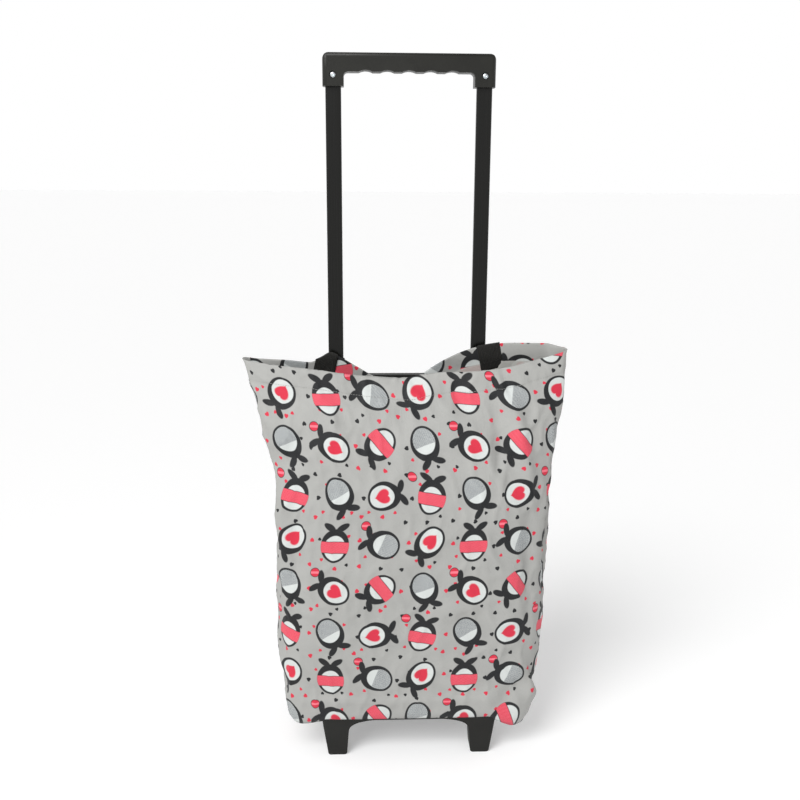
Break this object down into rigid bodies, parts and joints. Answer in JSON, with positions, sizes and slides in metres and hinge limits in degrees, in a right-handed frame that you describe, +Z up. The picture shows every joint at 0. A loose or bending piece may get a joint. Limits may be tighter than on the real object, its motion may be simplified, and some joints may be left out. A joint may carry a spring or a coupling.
{
  "type": "folding shopping trolley",
  "caption": "Soft open-topped shopping bag on a black two-wheeled frame with a telescopic pull handle and a folding foot plate on legs.",
  "frame": {"origin": "on the floor, midway between the sides and midway between the front of the bag and the back of the wheels", "axes": "+Z up; -Y is the front of the bag; the tubes and wheels are at +Y; +X is to the right seen from the front"},
  "size_m": [0.434, 0.1758, 0.92],
  "materials": {
    "grip_plastic": "fine-grained moulded plastic",
    "tube_paint": "satin black paint",
    "black_plastic": "fine-grained moulded plastic",
    "zinc": "bright zinc plate",
    "spring_steel": "plain spring steel",
    "tyre_rubber": "soft black tyre",
    "printed_fabric": "woven polyester with a printed pattern",
    "lining_board": "embossed board",
    "webbing": "woven black webbing"
  },
  "bodies": {
    "frame": {"outer_tube_left": "tube_paint", "outer_tube_right": "tube_paint", "guide_bush_left": "black_plastic", "guide_bush_right": "black_plastic", "tube_bridge": "black_plastic", "bridge_screws": "zinc", "chassis": "black_plastic", "chassis_screws": "zinc", "axle": "zinc", "axle_washers": "zinc", "axle_caps": "zinc", "hinge_pin_left": "zinc", "hinge_pin_right": "zinc", "bag_front": "printed_fabric", "bag_back": "printed_fabric", "bag_side_left": "printed_fabric", "bag_side_right": "printed_fabric", "tube_loop_left": "webbing", "tube_loop_right": "webbing"},
    "handle": {"handle_grip": "grip_plastic", "handle_rivets": "zinc", "inner_tube_left": "tube_paint", "inner_tube_right": "tube_paint", "tube_plug_left": "black_plastic", "tube_plug_right": "black_plastic", "detent_spring_left": "spring_steel", "detent_spring_right": "spring_steel"},
    "foot": {"foot_plate": "black_plastic", "base_board": "lining_board", "base_rivets": "zinc", "bag_bottom": "printed_fabric"},
    "wheel_left": {"wheel_hub_left": "black_plastic", "tyre_left": "tyre_rubber"},
    "wheel_right": {"wheel_hub_right": "black_plastic", "tyre_right": "tyre_rubber"}
  },
  "joints": [
    {"name": "handle_slide", "type": "slide", "parent": "frame", "child": "handle", "axis": [0, 0, 1], "range_m": [-0.34, 0], "deforming": ["detent_spring_left", "detent_spring_right"]},
    {"name": "foot_fold", "type": "hinge", "parent": "frame", "child": "foot", "pos_m": [0, 0.02275, 0.048], "axis": [-1, 0, 0], "range_deg": [0, 90], "deforming": ["bag_front", "bag_back", "bag_side_left", "bag_side_right"]},
    {"name": "wheel_left_spin", "type": "hinge", "parent": "frame", "child": "wheel_left", "pos_m": [-0.1245, 0.06075, 0.0275], "axis": [1, 0, 0], "continuous": true},
    {"name": "wheel_right_spin", "type": "hinge", "parent": "frame", "child": "wheel_right", "pos_m": [0.1245, 0.06075, 0.0275], "axis": [1, 0, 0], "continuous": true}
  ]
}
